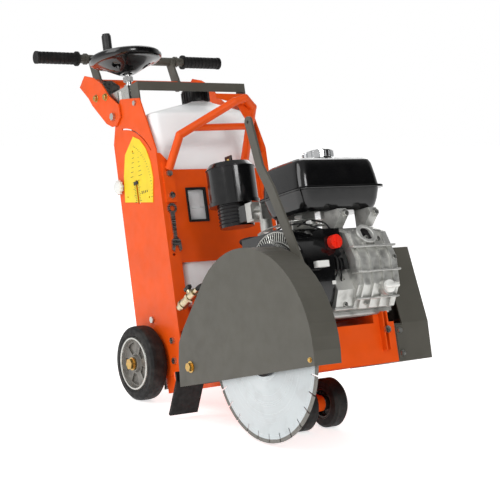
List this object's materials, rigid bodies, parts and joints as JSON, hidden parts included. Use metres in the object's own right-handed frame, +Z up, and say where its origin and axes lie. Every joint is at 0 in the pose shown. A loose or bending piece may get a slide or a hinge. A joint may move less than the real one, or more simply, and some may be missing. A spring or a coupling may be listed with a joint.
{
  "type": "walk-behind concrete saw",
  "caption": "Walk-behind concrete floor saw: engine-driven diamond blade under a lifting guard, water tank, push handle, crank wheel for cutting depth, four wheels",
  "frame": {"origin": "centre of the bounding box, on the floor", "axes": "X forward, Y to the left of the machine as the operator walks, Z up; the chassis is pitched nose-up by 13.6 degrees because the blade is raised"},
  "size_m": [1.2718, 0.61, 0.9761],
  "materials": {
    "orange_paint": "satin orange paint on folded steel",
    "charcoal_paint": "satin warm-grey paint on steel",
    "black_enamel": "glossy black enamel",
    "white_tank": "translucent white moulded plastic",
    "black_plastic": "black moulded plastic",
    "black_rubber": "black rubber",
    "tyre": "black solid rubber tyre",
    "rim_grey": "cast rim, silver-grey",
    "rim_dark": "dark painted rim",
    "scale_yellow": "yellow scale plate with black marks",
    "zinc": "zinc-plated steel",
    "gold_zinc": "yellow-passivated zinc",
    "bright_steel": "ground steel",
    "blade_steel": "ground steel disc",
    "segment": "sintered diamond segment",
    "dark_steel": "blackened steel",
    "cast_iron": "machined cast iron",
    "die_cast": "die-cast aluminium",
    "chrome": "chrome plate",
    "brass": "machined brass",
    "red_plastic": "red moulded plastic",
    "white_plastic": "white moulded plastic",
    "heat_steel": "heat-stained sheet steel"
  },
  "bodies": {
    "machine": {"base_frame": "orange_paint", "column_right": "orange_paint", "column_left": "orange_paint", "cross_panel": "orange_paint", "top_cross_plate": "charcoal_paint", "lifting_loop": "orange_paint", "water_tank": "white_tank", "water_valve": "brass", "water_hose": "black_rubber", "scale_plate": "scale_yellow", "spindle_bracket": "zinc", "axle_pivot_shaft": "bright_steel", "rear_axle_stubs": "gold_zinc", "guard_bolts": "gold_zinc", "splash_flap": "black_rubber", "bearing_housings": "cast_iron", "drive_belt": "black_rubber", "belt_guard": "charcoal_paint", "crankcase": "die_cast", "cylinder": "die_cast", "fan_cowl": "black_enamel", "recoil_cover": "black_enamel", "fuel_tank": "black_enamel", "tank_bracket": "die_cast", "air_filter": "black_enamel", "muffler": "heat_steel", "carburettor": "die_cast", "zinc_fasteners": "zinc"},
    "rear_wheel_left": {"rear_tyre_left": "tyre", "rear_rim_left": "rim_grey"},
    "rear_wheel_right": {"rear_tyre_right": "tyre", "rear_rim_right": "rim_grey"},
    "front_axle": {"front_axle_arm": "orange_paint", "front_wheel_shaft": "zinc"},
    "front_wheel_left": {"front_tyre_left": "tyre", "front_rim_left": "rim_dark"},
    "front_wheel_right": {"front_tyre_right": "tyre", "front_rim_right": "rim_dark"},
    "spindle": {"lift_screw": "bright_steel", "handwheel": "black_enamel"},
    "wheel_knob": {"handwheel_knob": "black_plastic"},
    "nut": {"screw_nut": "bright_steel"},
    "pointer": {"depth_pointer": "black_plastic"},
    "handle": {"handle_plates": "orange_paint", "handlebar": "charcoal_paint", "handle_grips": "black_rubber"},
    "guard": {"blade_guard": "charcoal_paint", "guard_lift_bar": "charcoal_paint"},
    "blade": {"blade_core": "blade_steel", "blade_segments": "segment", "blade_flanges": "dark_steel", "blade_shaft": "bright_steel", "shaft_pulley": "cast_iron"},
    "crank": {"crankshaft": "bright_steel", "engine_pulley": "cast_iron"},
    "valve_lever": {"valve_knob": "black_plastic"},
    "water_cap": {"tank_cap": "black_plastic"},
    "filler_cap": {"fuel_cap": "chrome"},
    "starter_handle": {"starter_grip": "white_plastic"},
    "switch_knob": {"engine_switch": "red_plastic"}
  },
  "joints": [
    {"name": "front_axle_lift", "type": "hinge", "parent": "machine", "child": "front_axle", "pos_m": [-0.00355, 0, 0.11587], "axis": [0, -1, 0], "range_deg": [0, 17.5]},
    {"name": "handwheel_spin", "type": "hinge", "parent": "machine", "child": "spindle", "pos_m": [-0.37982, -0.15, 0.90142], "axis": [-0.2351, 0, 0.972], "range_deg": [0, 3991.8]},
    {"name": "knob_spin", "type": "hinge", "parent": "spindle", "child": "wheel_knob", "pos_m": [-0.4747, -0.152, 0.92785], "axis": [-0.2351, 0, 0.972], "continuous": true},
    {"name": "nut_slide", "type": "slide", "parent": "machine", "child": "nut", "axis": [0.2351, 0, -0.972], "range_m": [0, 0.0559]},
    {"name": "pointer_slide", "type": "slide", "parent": "machine", "child": "pointer", "axis": [0.2351, 0, -0.972], "range_m": [0, 0.0465]},
    {"name": "rear_wheel_left_spin", "type": "hinge", "parent": "machine", "child": "rear_wheel_left", "pos_m": [-0.205, 0.206, 0.098], "axis": [0, 1, 0], "continuous": true},
    {"name": "rear_wheel_right_spin", "type": "hinge", "parent": "machine", "child": "rear_wheel_right", "pos_m": [-0.205, -0.206, 0.098], "axis": [0, 1, 0], "continuous": true},
    {"name": "front_wheel_left_spin", "type": "hinge", "parent": "front_axle", "child": "front_wheel_left", "pos_m": [0.32915, -0.002, 0.05901], "axis": [0, 1, 0], "continuous": true},
    {"name": "front_wheel_right_spin", "type": "hinge", "parent": "front_axle", "child": "front_wheel_right", "pos_m": [0.32915, -0.088, 0.05901], "axis": [0, 1, 0], "continuous": true},
    {"name": "handle_pivot", "type": "hinge", "parent": "machine", "child": "handle", "pos_m": [-0.39241, 0, 0.74508], "axis": [0, 1, 0], "range_deg": [-35, 8]},
    {"name": "guard_lift", "type": "hinge", "parent": "machine", "child": "guard", "pos_m": [0.15263, -0.24, 0.14645], "axis": [0, -1, 0], "range_deg": [0, 45]},
    {"name": "blade_spin", "type": "hinge", "parent": "machine", "child": "blade", "pos_m": [0.3943, -0.2355, 0.20646], "axis": [0, 1, 0], "continuous": true},
    {"name": "crank_spin", "type": "hinge", "parent": "machine", "child": "crank", "pos_m": [0.34878, 0, 0.36058], "axis": [0, 1, 0], "continuous": true},
    {"name": "valve_turn", "type": "hinge", "parent": "machine", "child": "valve_lever", "pos_m": [-0.00382, -0.186, 0.30885], "axis": [-0.5606, 0, 0.8281], "range_deg": [0, 90]},
    {"name": "tank_cap_turn", "type": "hinge", "parent": "machine", "child": "water_cap", "pos_m": [-0.35439, 0.058, 0.80057], "axis": [-0.2351, 0, 0.972], "range_deg": [0, 720]},
    {"name": "fuel_cap_turn", "type": "hinge", "parent": "machine", "child": "filler_cap", "pos_m": [0.2833, 0, 0.64825], "axis": [-0.2351, 0, 0.972], "range_deg": [0, 90]},
    {"name": "starter_pull", "type": "slide", "parent": "machine", "child": "starter_handle", "axis": [0.972, 0, 0.2351], "range_m": [0, 0.6], "stiffness_N_per_m": 25, "springref_m": -0.4},
    {"name": "switch_turn", "type": "hinge", "parent": "machine", "child": "switch_knob", "pos_m": [0.44095, -0.073, 0.45593], "axis": [0.972, 0, 0.2351], "range_deg": [0, 60]}
  ],
  "couplings": [
    {"joint": "handwheel_spin", "follows": "front_axle_lift", "ratio": 227.82},
    {"joint": "nut_slide", "follows": "front_axle_lift", "m_per_rad": 0.18129},
    {"joint": "pointer_slide", "follows": "front_axle_lift", "m_per_rad": 0.15061},
    {"joint": "crank_spin", "follows": "blade_spin", "ratio": 1.2727}
  ]
}
